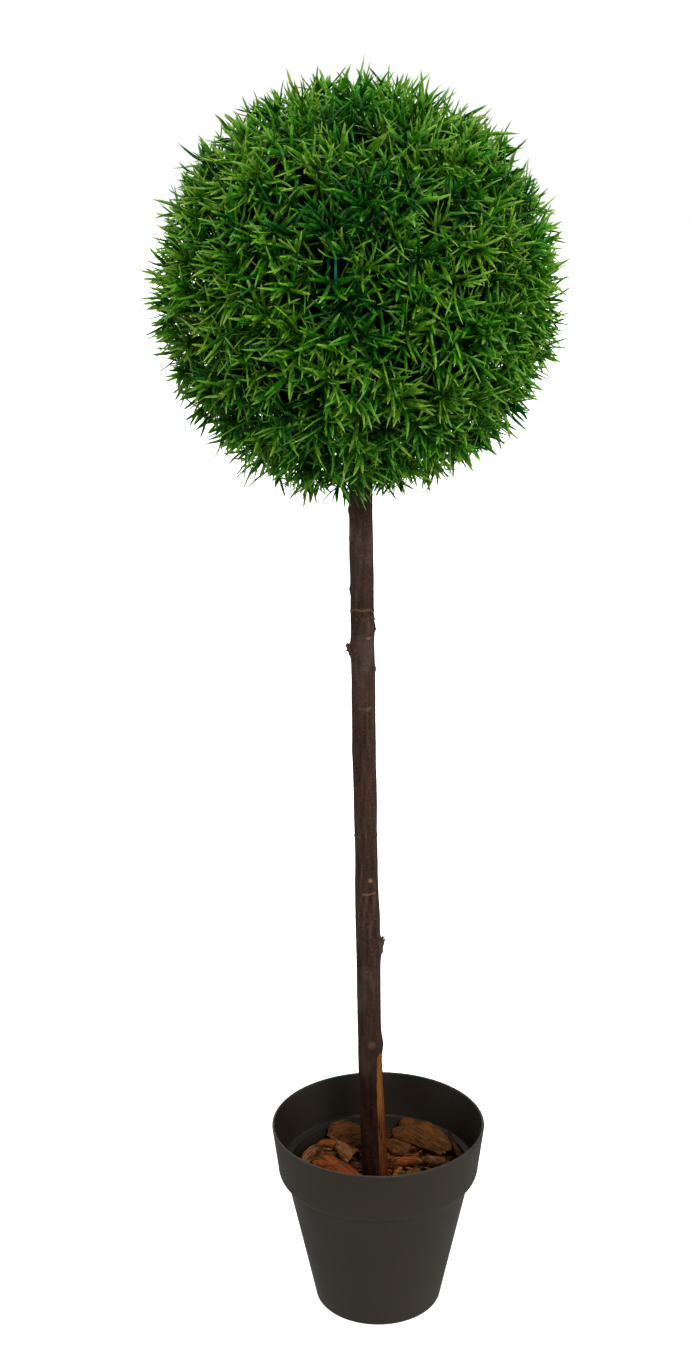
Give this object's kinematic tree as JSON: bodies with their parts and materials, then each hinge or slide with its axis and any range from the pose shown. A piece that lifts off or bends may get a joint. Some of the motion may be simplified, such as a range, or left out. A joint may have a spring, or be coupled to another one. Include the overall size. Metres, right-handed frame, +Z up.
{
  "type": "artificial lollipop topiary in a pot",
  "caption": "Artificial ball-headed topiary on a natural wood stick, standing in a tapered pot with bark chips.",
  "frame": {"origin": "centre of the pot's flat underside", "axes": "+Z up along the pot's axis, +X to the right in the front view, +Y to the back"},
  "size_m": [0.376, 0.3782, 1.2052],
  "materials": {
    "pot": "dark olive-brown moulded plastic with a fine dull grain",
    "filling": "rough set filling, dull",
    "bark": "layered bark chips, orange-brown to tan, dry and matt",
    "trunk": "thin natural bark, brown-grey, matt, with a peeled strip of bare wood",
    "core": "dark green moulded plastic",
    "leaves": "moulded soft plastic leaves in mixed greens, dull sheen"
  },
  "bodies": {
    "root": {"pot": "pot", "pot_filling": "filling", "bark_bed": "bark", "bark_chip_01": "bark", "bark_chip_02": "bark", "bark_chip_03": "bark", "bark_chip_04": "bark", "bark_chip_05": "bark", "bark_chip_06": "bark", "bark_chip_07": "bark", "bark_chip_08": "bark", "bark_chip_09": "bark", "bark_chip_10": "bark", "bark_chip_11": "bark", "bark_chip_12": "bark", "bark_chip_13": "bark", "bark_chip_14": "bark", "bark_chip_15": "bark", "bark_chip_16": "bark", "bark_chip_17": "bark", "bark_chip_18": "bark", "trunk": "trunk", "core_lower": "core", "core_upper": "core", "foliage_ball": "leaves"}
  },
  "joints": []
}
